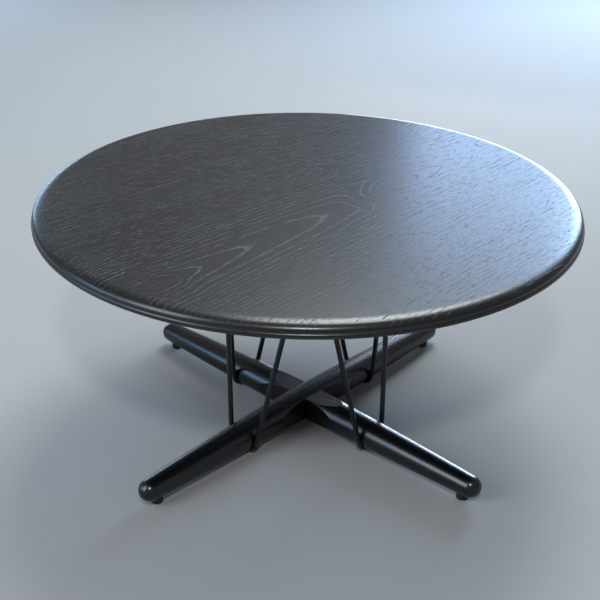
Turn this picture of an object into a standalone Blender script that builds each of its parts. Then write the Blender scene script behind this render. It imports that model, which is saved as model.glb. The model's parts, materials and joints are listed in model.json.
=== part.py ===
# A low round table with a wooden top, a wooden floor cross and bent steel rods between them.
# Two turned beams are lapped into each other to make the cross. A rod yoke is hung under
# each of its four arms, and the rods of neighbouring yokes meet at a plate under the top.
#
# Metres, +Z up. The origin is on the floor, under the middle of the top.
# The upper beam of the cross lies along X and the lower beam along Y.

import math

import bmesh
import bpy
from mathutils import Matrix, Vector

# Clearance between pieces that seat on each other
FIT_GAP = 0.0003

# Top
TABLE_HEIGHT = 0.4354
TOP_DIAMETER = 0.900
TOP_THICKNESS = 0.0214
ROUNDING_WIDTH = 0.0228  # from the ledge to where the top turns flat
ROUNDING_POWER = 2.6  # 2 is a plain quarter ellipse, more gives a squarer edge
EDGE_LEDGE = 0.0012  # narrow ledge at the foot of the rounding
EDGE_BAND = 0.008  # upright band under the ledge
EDGE_CHAMFER = 0.0015

# Beams of the cross
BEAM_LENGTH = 0.772
BEAM_MID_DIAMETER = 0.059
BEAM_END_DIAMETER = 0.038
BEAM_TAPER_POWER = 1.5  # 1 is a straight cone, more gives a fuller middle
BEAM_FLOOR_GAP = 0.002  # under the middle of the cross

# Lap where the beams cross
LAP_WIDTH = 0.041  # between the two cheeks of a beam
LAP_MARGIN = 0.0035  # straight length of a cheek past the other beam
LAP_RUNOUT_RADIUS = 0.300  # cheeks and seat curve out to the round with this radius

# Rod yokes
ROD_DIAMETER = 0.009
ROD_PROUD = 0.0037  # how far a rod stands below the beam it wraps
ROD_SIDE_GAP = 0.0012  # between a rod and the sides of its beam
YOKE_STATION = 0.155  # from the middle of the cross to the bend of a yoke
ARM_GAP = 0.0054  # between the two rods on one plate

# Mounting plates under the top
PLATE_REACH = 0.1386  # from the middle of the table to a plate
PLATE_DIAMETER = 0.068
PLATE_THICKNESS = 0.004
PLATE_SCREWS = 3  # in each plate
PLATE_SCREW_EDGE = 0.010  # from a screw to the rim of its plate
PLATE_SCREW_COVER = 0.008  # wood left above the tip of a plate screw

# Wood screws
SCREW_DIAMETER = 0.0045
SCREW_HEAD_DIAMETER = 0.009
SCREW_HEAD_RIM = 0.0004
SCREW_TIP_LENGTH = 0.004
SCREW_TIP_DIAMETER = 0.0012
SOCKET_WIDTH = 0.0025
SOCKET_DEPTH = 0.0014

# Screws that hold the yokes to the beams
YOKE_SCREW_LENGTH = 0.030
YOKE_HEAD_DIAMETER = 0.0078
YOKE_HEAD_HEIGHT = 0.0026
YOKE_FLAT_DIAMETER = 0.012  # flat milled on the rod under the screw head

# Glides
GLIDE_DIAMETER = 0.020
GLIDE_HEIGHT = 0.014
GLIDE_CHAMFER = 0.0012
GLIDE_INSET = 0.013  # from the centre of the domed beam end
GLIDE_SINK = 0.001  # least depth of the glide's recess in the beam
GLIDE_SCREW_SINK = 0.004  # screw head above the floor
GLIDE_SCREW_LENGTH = 0.026

# Bolt that draws the lap together
BOLT_DIAMETER = 0.008
BOLT_HEAD_DIAMETER = 0.013
BOLT_HEAD_HEIGHT = 0.007
BOLT_SOCKET_WIDTH = 0.006
BOLT_SOCKET_DEPTH = 0.004
BOLT_SINK = 0.0115  # depth of the head's pocket in the lower beam
WASHER_DIAMETER = 0.018
WASHER_THICKNESS = 0.0016
INSERT_DIAMETER = 0.012
INSERT_LENGTH = 0.015

# Facets
TOP_SIDES = 80
ROUNDING_STEPS = 7
BEAM_SIDES = 20
BEAM_STATIONS = 16
DOME_STEPS = 5
ROD_SIDES = 10
BEND_STEPS = 14
PLATE_SIDES = 28
SCREW_SIDES = 12
RUNOUT_STEPS = 5

# Ends of the cross and plates under the top, with their turn about Z in degrees
CROSS_ENDS = {"back_right": 0, "back_left": 90, "front_left": 180, "front_right": 270}
PLATES = {"back": 45, "left": 135, "front": 225, "right": 315}

# Sizes that follow from the ones above
TOP_RADIUS = TOP_DIAMETER / 2
UNDERSIDE = TABLE_HEIGHT - TOP_THICKNESS
PLATE_TOP = UNDERSIDE - FIT_GAP
PLATE_BASE = PLATE_TOP - PLATE_THICKNESS
ARM_TOP = PLATE_BASE - FIT_GAP
MID_RADIUS = BEAM_MID_DIAMETER / 2
END_RADIUS = BEAM_END_DIAMETER / 2
END_STATION = BEAM_LENGTH / 2 - END_RADIUS
GLIDE_STATION = END_STATION - GLIDE_INSET
MID_HEIGHT = BEAM_FLOOR_GAP + MID_RADIUS
ROD_RADIUS = ROD_DIAMETER / 2
SCREW_RADIUS = SCREW_DIAMETER / 2
HEAD_HEIGHT = SCREW_HEAD_RIM + (SCREW_HEAD_DIAMETER - SCREW_DIAMETER) / 2


# Radius of a beam at a distance from the middle of the cross
def beam_radius(along):
    share = min(abs(along) / END_STATION, 1)
    return MID_RADIUS - (MID_RADIUS - END_RADIUS) * share ** BEAM_TAPER_POWER


# Height of the flat that a glide seats on, which sets how high the beam ends stand
GLIDE_RECESS_RADIUS = GLIDE_DIAMETER / 2 + FIT_GAP
GLIDE_SEAT = GLIDE_HEIGHT + FIT_GAP
GLIDE_AXIS = GLIDE_SEAT - GLIDE_SINK + math.sqrt(beam_radius(GLIDE_STATION) ** 2 - GLIDE_RECESS_RADIUS ** 2)


# Height of a beam's centre line, which is arched a little to keep the middle off the floor
def beam_height(along):
    return MID_HEIGHT - (MID_HEIGHT - GLIDE_AXIS) * (along / GLIDE_STATION) ** 2


def turn_z(degrees):
    return Matrix.Rotation(math.radians(degrees), 4, "Z")


# Rings of points round the local Z axis, one for each (radius, height) of a turned profile
def turned(profile, sides, frame=Matrix()):
    angles = [2 * math.pi * i / sides for i in range(sides)]
    return [
        [frame @ Vector((radius * math.cos(a), radius * math.sin(a), height)) for a in angles]
        for radius, height in profile
    ]


# Ring of a hexagon socket, with as many points as a screw has sides
def hexagon(width, height):
    ring = []
    for i in range(SCREW_SIDES):
        angle = 2 * math.pi * i / SCREW_SIDES
        from_flat = (angle + math.pi / 6) % (math.pi / 3) - math.pi / 6
        radius = width / 2 / math.cos(from_flat)
        ring.append(Vector((radius * math.cos(angle), radius * math.sin(angle), height)))
    return ring


# Skin a row of rings. The ends are capped, or a closed row is joined end to end.
def loft(rings, closed=False, into=None):
    body = into or bmesh.new()
    rows = [[body.verts.new(point) for point in ring] for ring in rings]
    following = rows[1:] + rows[:1] if closed else rows[1:]
    sides = len(rows[0])
    for row, other in zip(rows, following):
        for i in range(sides):
            j = (i + 1) % sides
            body.faces.new((row[i], row[j], other[j], other[i]))
    if not closed:
        body.faces.new(rows[0])
        body.faces.new(rows[-1])
    bmesh.ops.recalc_face_normals(body, faces=body.faces)
    return body


# Several separate shapes in one body, for a cutter
def loft_all(shapes):
    body = bmesh.new()
    for rings in shapes:
        loft(rings, into=body)
    return body


def to_mesh(name, body):
    mesh = bpy.data.meshes.new(name)
    body.to_mesh(mesh)
    body.free()
    return mesh


def add_object(name, data):
    thing = bpy.data.objects.new(name, data)
    bpy.context.scene.collection.objects.link(thing)
    return thing


# Take cutters out of a body, one after another, and give the finished mesh
def carve(name, body, cutters):
    blank = add_object(name + "_blank", to_mesh(name, body))
    tools = []
    for cutter in cutters:
        tool = add_object(name + "_cutter", to_mesh(name + "_cutter", cutter))
        tool.hide_render = True
        tool.display_type = "WIRE"
        tools.append(tool)
        cut = blank.modifiers.new("cut", "BOOLEAN")
        cut.operation = "DIFFERENCE"
        cut.solver = "EXACT"
        cut.object = tool
    depsgraph = bpy.context.evaluated_depsgraph_get()
    mesh = bpy.data.meshes.new_from_object(blank.evaluated_get(depsgraph))
    mesh.name = name
    for thing in [blank] + tools:
        bpy.data.objects.remove(thing)
    return mesh


def finish(name, colour, roughness, metallic):
    material = bpy.data.materials.new(name)
    material.use_nodes = True
    shader = material.node_tree.nodes["Principled BSDF"]
    shader.inputs["Base Color"].default_value = (*colour, 1)
    shader.inputs["Roughness"].default_value = roughness
    shader.inputs["Metallic"].default_value = metallic
    return material


# Put a finished mesh in the table under its own name
def place(name, mesh, material, turn=0):
    piece = add_object(name, mesh)
    piece.parent = table
    piece.rotation_euler.z = math.radians(turn)
    if not mesh.materials:
        mesh.materials.append(material)
        mesh.shade_smooth()
        mesh.set_sharp_from_angle(angle=math.radians(35))
    return piece


# Countersunk wood screw pointing up from its head face, with a hexagon socket
def countersunk_screw(length):
    head_radius = SCREW_HEAD_DIAMETER / 2
    profile = [
        (head_radius, 0),
        (head_radius, SCREW_HEAD_RIM),
        (SCREW_RADIUS, HEAD_HEIGHT),
        (SCREW_RADIUS, length - SCREW_TIP_LENGTH),
        (SCREW_TIP_DIAMETER / 2, length),
    ]
    socket = [hexagon(SOCKET_WIDTH, SOCKET_DEPTH), hexagon(SOCKET_WIDTH, 0)]
    return socket + turned(profile, SCREW_SIDES)


# Hole that leaves the clearance all round a countersunk screw, open below its head
def countersunk_hole(length, opening, frame):
    head_radius = SCREW_HEAD_DIAMETER / 2 + FIT_GAP
    shank_radius = SCREW_RADIUS + FIT_GAP
    profile = [
        (head_radius, -opening),
        (head_radius, SCREW_HEAD_RIM),
        (shank_radius, HEAD_HEIGHT),
        (shank_radius, length + FIT_GAP),
    ]
    return turned(profile, SCREW_SIDES, frame)


# Screw or bolt with a round upright head, pointing up from its head face
def socket_screw(head_diameter, head_height, diameter, length, socket_width, socket_depth, tip):
    tip_diameter, tip_length = tip
    profile = [
        (head_diameter / 2, 0),
        (head_diameter / 2, head_height),
        (diameter / 2, head_height),
        (diameter / 2, head_height + length - tip_length),
        (tip_diameter / 2, head_height + length),
    ]
    socket = [hexagon(socket_width, socket_depth), hexagon(socket_width, 0)]
    return socket + turned(profile, SCREW_SIDES)


# Centre of each plate screw, level with the underside of the plates
def plate_screw_places(turn):
    middle = turn_z(turn) @ Vector((PLATE_REACH, 0, PLATE_BASE))
    circle = PLATE_DIAMETER / 2 - PLATE_SCREW_EDGE
    step = 360 / PLATE_SCREWS
    return [middle + turn_z(turn + step * i) @ Vector((circle, 0, 0)) for i in range(PLATE_SCREWS)]


PLATE_SCREW_LENGTH = TABLE_HEIGHT - PLATE_SCREW_COVER - PLATE_BASE


# The top: flat face, rounding down to a narrow ledge, upright band and chamfered underside.
# The rounding is part of a superellipse, level where it leaves the flat and upright at its foot.
def make_top():
    band_top = UNDERSIDE + EDGE_BAND
    drop = TOP_THICKNESS - EDGE_BAND
    flat_radius = TOP_RADIUS - EDGE_LEDGE - ROUNDING_WIDTH
    profile = [
        (TOP_RADIUS - EDGE_CHAMFER, UNDERSIDE),
        (TOP_RADIUS, UNDERSIDE + EDGE_CHAMFER),
        (TOP_RADIUS, band_top),
        (TOP_RADIUS - EDGE_LEDGE, band_top),
    ]
    for step in range(1, ROUNDING_STEPS + 1):
        angle = math.pi / 2 * step / ROUNDING_STEPS
        out = max(math.cos(angle), 0) ** (2 / ROUNDING_POWER)
        up = math.sin(angle) ** (2 / ROUNDING_POWER)
        profile.append((flat_radius + ROUNDING_WIDTH * out, band_top + drop * up))
    holes = [
        countersunk_hole(PLATE_SCREW_LENGTH, PLATE_THICKNESS, Matrix.Translation(spot))
        for turn in PLATES.values()
        for spot in plate_screw_places(turn)
    ]
    body = loft(turned(profile, TOP_SIDES))
    place("table_top", carve("table_top", body, [loft_all(holes)]), stained_wood)


# Where a rod meets its plate: distance along the beam and distance to the side
def arm_spot():
    shift = (ROD_DIAMETER + ARM_GAP) / 2
    diagonal = math.sqrt(0.5)
    return (PLATE_REACH + shift) * diagonal, (PLATE_REACH - shift) * diagonal


# Lowest point of the rod below the beam's centre line
def yoke_depth():
    return beam_radius(YOKE_STATION) + ROD_PROUD


# Rings along one rod on the arm of the cross along +X: down to the beam, round the bend
# under it and up the other side. The bend is square to the beam, and the straight arms
# lean from it to the plates, where they are cut level.
def yoke_rings(rod_radius):
    along, aside = arm_spot()
    bend_radius = beam_radius(YOKE_STATION) + ROD_SIDE_GAP + ROD_RADIUS
    bend_height = beam_height(YOKE_STATION) - yoke_depth() + ROD_RADIUS + bend_radius
    centre = Vector((YOKE_STATION, 0, bend_height))
    span = Vector((aside, ARM_TOP - bend_height))
    start = math.atan2(span.y, span.x) - math.acos(bend_radius / span.length)
    stop = -math.pi - start
    angles = [start + (stop - start) * i / BEND_STEPS for i in range(BEND_STEPS + 1)]

    def ring(spot, angle):
        out = Vector((0, math.cos(angle), math.sin(angle)))
        turns = [2 * math.pi * i / ROD_SIDES for i in range(ROD_SIDES)]
        return [spot + rod_radius * (math.cos(t) * out + math.sin(t) * Vector((1, 0, 0))) for t in turns]

    def level_ring(spot, angle, bend_end):
        run = spot - bend_end
        return [point + run * ((ARM_TOP - point.z) / run.z) for point in ring(bend_end, angle)]

    bend = [centre + bend_radius * Vector((0, math.cos(a), math.sin(a))) for a in angles]
    first = level_ring(Vector((along, aside, ARM_TOP)), start, bend[0])
    last = level_ring(Vector((along, -aside, ARM_TOP)), stop, bend[-1])
    return [first] + [ring(spot, angle) for spot, angle in zip(bend, angles)] + [last]


# Place of the yoke screw's head face, level with the bottom of the rod
def yoke_screw_frame():
    return Matrix.Translation((YOKE_STATION, 0, beam_height(YOKE_STATION) - yoke_depth()))


# Four rods, each with a flat and a hole at the bottom of its bend, and their screws
def make_yokes():
    flat_height = YOKE_HEAD_HEIGHT + FIT_GAP
    hole = [
        (YOKE_FLAT_DIAMETER / 2, -ROD_DIAMETER),
        (YOKE_FLAT_DIAMETER / 2, flat_height),
        (SCREW_RADIUS + FIT_GAP, flat_height),
        (SCREW_RADIUS + FIT_GAP, 2 * ROD_DIAMETER),
    ]
    cutter = loft(turned(hole, SCREW_SIDES, yoke_screw_frame()))
    yoke = carve("rod_yoke", loft(yoke_rings(ROD_RADIUS)), [cutter])
    screw = loft(socket_screw(
        YOKE_HEAD_DIAMETER, YOKE_HEAD_HEIGHT, SCREW_DIAMETER, YOKE_SCREW_LENGTH,
        SOCKET_WIDTH, SOCKET_DEPTH, (SCREW_TIP_DIAMETER, SCREW_TIP_LENGTH),
    ))
    screw.transform(yoke_screw_frame())
    screw_mesh = to_mesh("yoke_screw", screw)
    for end, turn in CROSS_ENDS.items():
        place("rod_yoke_" + end, yoke, coated_steel, turn)
        place("yoke_screw_" + end, screw_mesh, blackened_steel, turn)


# Round plates that the rods are welded to, each held to the top by its own screws
def make_plates():
    profile = [(PLATE_DIAMETER / 2, PLATE_BASE), (PLATE_DIAMETER / 2, PLATE_TOP)]
    screw_mesh = to_mesh("plate_screw", loft(countersunk_screw(PLATE_SCREW_LENGTH)))
    middle = Matrix.Translation((PLATE_REACH, 0, 0))
    holes = [
        countersunk_hole(PLATE_SCREW_LENGTH, PLATE_THICKNESS, Matrix.Translation(spot))
        for spot in plate_screw_places(0)
    ]
    plate = carve("mount_plate", loft(turned(profile, PLATE_SIDES, middle)), [loft_all(holes)])
    for side, turn in PLATES.items():
        place("mount_plate_" + side, plate, coated_steel, turn)
        for number, spot in enumerate(plate_screw_places(turn), 1):
            screw = place(f"plate_screw_{side}_{number}", screw_mesh, blackened_steel)
            screw.location = spot


# Outline of a cutter for one cheek or seat: straight across the lap, then curving out.
# The first axis runs along the beam, the second away from its centre line.
def lap_outline(depth):
    straight = LAP_WIDTH / 2 + LAP_MARGIN
    runout = math.sqrt(2 * LAP_RUNOUT_RADIUS * MID_RADIUS)
    side = []
    for step in range(RUNOUT_STEPS + 1):
        run = runout * step / RUNOUT_STEPS
        side.append((straight + run, depth + run ** 2 / (2 * LAP_RUNOUT_RADIUS)))
    far = [(straight + runout, depth + 2 * MID_RADIUS)]
    right = side + far
    return [(-along, out) for along, out in reversed(right)] + right


# Straight bar with the given outline, reaching both ways along the local Z axis
def prism(outline, half_length, frame):
    return [
        [frame @ Vector((along, out, end)) for along, out in outline]
        for end in (-half_length, half_length)
    ]


# Notch for the other beam, from the lap plane outwards
def notch_outline():
    half_width = LAP_WIDTH / 2 + FIT_GAP
    floor = FIT_GAP / 2
    return [
        (-half_width, -floor), (half_width, -floor),
        (half_width, 2 * MID_RADIUS), (-half_width, 2 * MID_RADIUS),
    ]


# Pockets for the bolt, washer and insert, on the upright axis through the lap
def bolt_pocket(lower):
    if lower:
        hole_radius = BOLT_DIAMETER / 2 + FIT_GAP
        pocket_radius = WASHER_DIAMETER / 2 + FIT_GAP
        ceiling = BEAM_FLOOR_GAP + BOLT_SINK
        return [(pocket_radius, -MID_RADIUS), (pocket_radius, ceiling),
                (hole_radius, ceiling), (hole_radius, MID_HEIGHT + MID_RADIUS)]
    pocket_radius = INSERT_DIAMETER / 2 + FIT_GAP
    return [(pocket_radius, MID_HEIGHT - MID_RADIUS),
            (pocket_radius, MID_HEIGHT + INSERT_LENGTH + 3 * FIT_GAP)]


# One beam along X. The lower beam is notched from above, the upper one from beneath.
def beam_mesh(name, lower):
    stations = [END_STATION * (2 * i / BEAM_STATIONS - 1) for i in range(BEAM_STATIONS + 1)]
    rows = [(along, beam_radius(along)) for along in stations]
    dome = []
    for step in range(1, DOME_STEPS + 1):
        angle = math.pi / 2 * step / (DOME_STEPS + 0.5)
        dome.append((END_STATION + END_RADIUS * math.sin(angle), END_RADIUS * math.cos(angle)))
    rows = [(-along, radius) for along, radius in reversed(dome)] + rows + dome
    lying = Matrix.Rotation(math.pi / 2, 4, "Y")
    rings = [
        turned([(radius, 0)], BEAM_SIDES, Matrix.Translation((along, 0, beam_height(along))) @ lying)[0]
        for along, radius in rows
    ]

    middle = Matrix.Translation((0, 0, MID_HEIGHT))
    seat_side = middle @ Matrix.Rotation(math.pi / 2 if lower else -math.pi / 2, 4, "X")
    seat_depth = math.sqrt(MID_RADIUS ** 2 - (LAP_WIDTH / 2) ** 2)
    cheek = lap_outline(LAP_WIDTH / 2)
    cheeks = [prism(cheek, 2 * MID_RADIUS, middle @ turn_z(turn)) for turn in (0, 180)]
    seat = prism(lap_outline(seat_depth), 2 * MID_RADIUS, seat_side)
    notch = prism(notch_outline(), 2 * MID_RADIUS, seat_side)

    recess = [
        (GLIDE_RECESS_RADIUS, -GLIDE_HEIGHT),
        (GLIDE_RECESS_RADIUS, GLIDE_SEAT),
        (SCREW_RADIUS + FIT_GAP, GLIDE_SEAT),
        (SCREW_RADIUS + FIT_GAP, GLIDE_SCREW_SINK + GLIDE_SCREW_LENGTH + FIT_GAP),
    ]
    pilot = [
        (SCREW_RADIUS + FIT_GAP, 0),
        (SCREW_RADIUS + FIT_GAP, YOKE_HEAD_HEIGHT + YOKE_SCREW_LENGTH + FIT_GAP),
    ]
    grooves = []
    holes = [turned(bolt_pocket(lower), BEAM_SIDES)]
    for turn in (0, 180):
        half = turn_z(turn)
        grooves.append([[half @ point for point in ring] for ring in yoke_rings(ROD_RADIUS + FIT_GAP)])
        holes.append(turned(recess, BEAM_SIDES, half @ Matrix.Translation((GLIDE_STATION, 0, 0))))
        holes.append(turned(pilot, SCREW_SIDES, half @ yoke_screw_frame()))
    cutters = [loft_all(cheeks), loft(seat), loft(notch), loft_all(grooves), loft_all(holes)]
    return carve(name, loft(rings), cutters)


def make_beams():
    place("upper_beam", beam_mesh("upper_beam", False), stained_wood)
    place("lower_beam", beam_mesh("lower_beam", True), stained_wood, 90)


# Bolt up through the lower beam into a threaded insert in the upper one
def make_lap_fastening():
    ceiling = BEAM_FLOOR_GAP + BOLT_SINK
    washer_top = ceiling - FIT_GAP
    washer_base = washer_top - WASHER_THICKNESS
    head_base = washer_base - FIT_GAP - BOLT_HEAD_HEIGHT
    insert_base = MID_HEIGHT + FIT_GAP
    insert_top = insert_base + INSERT_LENGTH
    length = insert_top - head_base - BOLT_HEAD_HEIGHT
    tip = (BOLT_DIAMETER - 4 * FIT_GAP, 4 * FIT_GAP)
    bolt = loft(socket_screw(
        BOLT_HEAD_DIAMETER, BOLT_HEAD_HEIGHT, BOLT_DIAMETER, length,
        BOLT_SOCKET_WIDTH, BOLT_SOCKET_DEPTH, tip,
    ))
    bolt.transform(Matrix.Translation((0, 0, head_base)))
    place("lap_bolt", to_mesh("lap_bolt", bolt), blackened_steel)

    bore = BOLT_DIAMETER / 2 + FIT_GAP
    washer = [(bore, washer_base), (WASHER_DIAMETER / 2, washer_base),
              (WASHER_DIAMETER / 2, washer_top), (bore, washer_top)]
    insert = [(bore, insert_base), (INSERT_DIAMETER / 2, insert_base),
              (INSERT_DIAMETER / 2, insert_top), (bore, insert_top)]
    washer_body = loft(turned(washer, BEAM_SIDES), closed=True)
    insert_body = loft(turned(insert, BEAM_SIDES), closed=True)
    place("lap_washer", to_mesh("lap_washer", washer_body), zinc_steel)
    place("lap_insert", to_mesh("lap_insert", insert_body), zinc_steel)


# Glides under the ends of the beams, each with a sunk screw
def make_glides():
    radius = GLIDE_DIAMETER / 2
    head_radius = SCREW_HEAD_DIAMETER / 2 + FIT_GAP
    bore = SCREW_RADIUS + FIT_GAP
    profile = [
        (head_radius, 0),
        (radius - GLIDE_CHAMFER, 0),
        (radius, GLIDE_CHAMFER),
        (radius, GLIDE_HEIGHT),
        (bore, GLIDE_HEIGHT),
        (bore, GLIDE_SCREW_SINK + HEAD_HEIGHT),
        (head_radius, GLIDE_SCREW_SINK + SCREW_HEAD_RIM),
    ]
    station = Matrix.Translation((GLIDE_STATION, 0, 0))
    glide = to_mesh("glide", loft(turned(profile, BEAM_SIDES, station), closed=True))
    screw = loft(countersunk_screw(GLIDE_SCREW_LENGTH))
    screw.transform(Matrix.Translation((GLIDE_STATION, 0, GLIDE_SCREW_SINK)))
    screw_mesh = to_mesh("glide_screw", screw)
    for end, turn in CROSS_ENDS.items():
        place("glide_" + end, glide, nylon, turn)
        place("glide_screw_" + end, screw_mesh, blackened_steel, turn)


for leftover in list(bpy.data.objects):
    bpy.data.objects.remove(leftover)

table = add_object("table", None)
stained_wood = finish("black stained oak", (0.013, 0.013, 0.014), 0.38, 0)
coated_steel = finish("black coated steel", (0.008, 0.008, 0.009), 0.42, 0)
blackened_steel = finish("blackened steel", (0.03, 0.03, 0.032), 0.4, 1)
zinc_steel = finish("zinc plated steel", (0.55, 0.55, 0.56), 0.35, 1)
nylon = finish("black nylon", (0.012, 0.012, 0.012), 0.55, 0)

make_top()
make_plates()
make_yokes()
make_beams()
make_lap_fastening()
make_glides()
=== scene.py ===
# Low round side table: a black-stained oak top on bent steel rods over a turned floor cross.
# Metres, +Z up, origin on the floor under the middle of the top. The upper beam lies along X.

import json
import math

import bmesh
import bpy
from mathutils import Matrix, Vector

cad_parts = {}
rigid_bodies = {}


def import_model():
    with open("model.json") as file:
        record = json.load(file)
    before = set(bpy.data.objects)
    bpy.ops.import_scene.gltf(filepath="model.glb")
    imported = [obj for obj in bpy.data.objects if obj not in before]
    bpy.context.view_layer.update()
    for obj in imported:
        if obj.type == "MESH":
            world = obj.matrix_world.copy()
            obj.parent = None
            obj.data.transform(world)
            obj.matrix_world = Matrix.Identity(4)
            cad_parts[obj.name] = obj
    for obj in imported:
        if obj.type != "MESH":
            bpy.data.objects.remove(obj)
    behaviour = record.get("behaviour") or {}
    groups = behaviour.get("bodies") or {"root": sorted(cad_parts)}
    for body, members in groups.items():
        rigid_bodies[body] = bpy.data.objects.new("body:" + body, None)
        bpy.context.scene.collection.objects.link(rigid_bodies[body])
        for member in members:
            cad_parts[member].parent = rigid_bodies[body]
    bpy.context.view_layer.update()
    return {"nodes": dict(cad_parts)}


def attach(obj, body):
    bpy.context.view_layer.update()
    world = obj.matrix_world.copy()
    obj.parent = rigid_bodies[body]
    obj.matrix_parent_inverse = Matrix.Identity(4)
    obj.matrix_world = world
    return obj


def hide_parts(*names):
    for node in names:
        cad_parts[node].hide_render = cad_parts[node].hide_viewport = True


for leftover in list(bpy.data.objects):
    bpy.data.objects.remove(leftover)

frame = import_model()
scene = bpy.context.scene
print("frame:", len(frame["nodes"]), "solids loaded")

cameraSet = {
    "place": (-1.24185, -1.13219, 1.11777),
    "aim": (0.65065, 0.60110, -0.46405),
    "roll": 0.731,  # degrees
    "lens": 65.3,  # millimetres
    "sensor": 36.0,
}


def makeCamera():
    ahead = Vector(cameraSet["aim"]).normalized()
    level = ahead.cross(Vector((0, 0, 1))).normalized()
    upright = level.cross(ahead)
    roll = math.radians(cameraSet["roll"])
    across = level * math.cos(roll) + upright * math.sin(roll)
    up = upright * math.cos(roll) - level * math.sin(roll)
    turn = Matrix((across, up, -ahead)).transposed().to_4x4()
    data = bpy.data.cameras.new("photoCamera")
    data.lens = cameraSet["lens"]
    data.sensor_width = cameraSet["sensor"]
    camera = bpy.data.objects.new("photoCamera", data)
    camera.matrix_world = Matrix.Translation(cameraSet["place"]) @ turn
    scene.collection.objects.link(camera)
    scene.camera = camera


makeCamera()
print("camera: placed")


def linearColour(hexCode):  # sRGB hex to the linear values that the sockets take
    channels = [int(hexCode[i:i + 2], 16) / 255 for i in (1, 3, 5)]
    return [c / 12.92 if c <= 0.04045 else ((c + 0.055) / 1.055) ** 2.4 for c in channels] + [1]


# one node with its settings, values and links, by socket name or number: on Map Range 1 and 2 are the
# range in and 3 and 4 the range out, on Mix 6 and 7 are the two colours
def addNode(tree, kind, inputs=None, **settings):
    node = tree.nodes.new(kind)
    for name, value in settings.items():
        setattr(node, name, value)
    for key, value in (inputs or {}).items():
        if isinstance(value, bpy.types.NodeSocket):
            tree.links.new(value, node.inputs[key])
        else:
            node.inputs[key].default_value = value
    return node


def startMaterial(name):
    material = bpy.data.materials.new(name)
    material.use_nodes = True
    return material, material.node_tree, material.node_tree.nodes["Principled BSDF"]


# Black-stained oak under a thin satin lacquer, its pores left open. The stain hides the wood's own
# colour, so the figure shows by the pores: crowded along each ring and duller than the lacquer. Their paler
# colour is a painted glint, standing in for the light that the pores catch.
oakLook = {
    "stain": "#0c0c0d",
    "poreGlintColour": "#464645",  # paler than the stain: a painted glint, standing in for the light that the pores catch
    "roughness": 0.28,
    "poreRoughness": 1.0,
    "ior": 1.6,
    "ringWidth": 0.0080,
    "ringShift": 2.0,  # years by which noise moves the rings, so that their widths are uneven
    "ringShifts": 0.22,  # how often it does so in a year
    "earlyPeak": 0.05,  # shares of a year at which its early wood is thickest and ends
    "earlyEnd": 0.22,
    "wander": 0.008,  # how far the rings swing out of line
    "wanderSize": 0.20,
    "wanderSquash": 0.35,  # below 1, so the swings and patches are longer along the grain
    "patchSize": 0.06,  # of the stretches where the rings fade
    "patchEdge": (0.36, 0.58),
    "patchLeast": 0.55,  # what is left of the rings there
    "poreLength": 0.022,  # real pores are about 5 by 0.3 mm, drawn coarser so that they show
    "poreWidth": 0.0012,
    "poreDepth": 0.0004,
    "lateLevel": 0.75,  # noise above these levels is a pore, in the late and the early wood
    "earlyLevel": 0.34,
    "poreEdge": 0.10,
    "pitLength": 0.013,  # small pits all over, also drawn coarser than they are
    "pitWidth": 0.0010,
    "pitEdge": (0.61, 0.69),
    "pitStrength": 0.7,
    "pitShift": (7, 3, 5),  # so that the pits don't follow the pores
    "facingEdge": (0.5, 0.92),  # from steep faces, where the pores are filled, to level ones
    "steepOpen": 0.12,
}
# the beams have a finer figure and more lacquer, so they look blacker and shinier than the top;
# their painted pore glint is barely paler than their stain
beamLook = dict(oakLook, stain="#060607", poreGlintColour="#0e0e0e", roughness=0.26, poreRoughness=0.30,
                ringWidth=0.006, poreDepth=0.00002)

# heart: (across, height) of the log's heart, in the frame turned to the grain
# bend: (along, rise) of the wood over the heart, which draws the arches and ovals of the figure
# dive: (from, to, back, rise, reach) along the grain where the fibres dive and the arches crowd together
topFigure = {
    "grainTurn": 0,
    "heart": (-0.077, 0.3985),
    "bend": [(-0.46, 0.0155), (-0.385, 0.0), (-0.34, 0.0083), (-0.23, 0.016),
             (-0.10, 0.0236), (0.0, 0.030), (0.46, 0.048)],
    "dive": (0.0, 0.16, 0.44, 0.055, 0.06),
}
upperFigure = {"grainTurn": 0, "heart": (0.035, 0.075), "bend": [(-0.4, 0.0), (0.4, 0.016)], "dive": None}
lowerFigure = {"grainTurn": 90, "heart": (-0.04, 0.070), "bend": [(-0.4, 0.0), (0.4, 0.016)], "dive": None}


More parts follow.
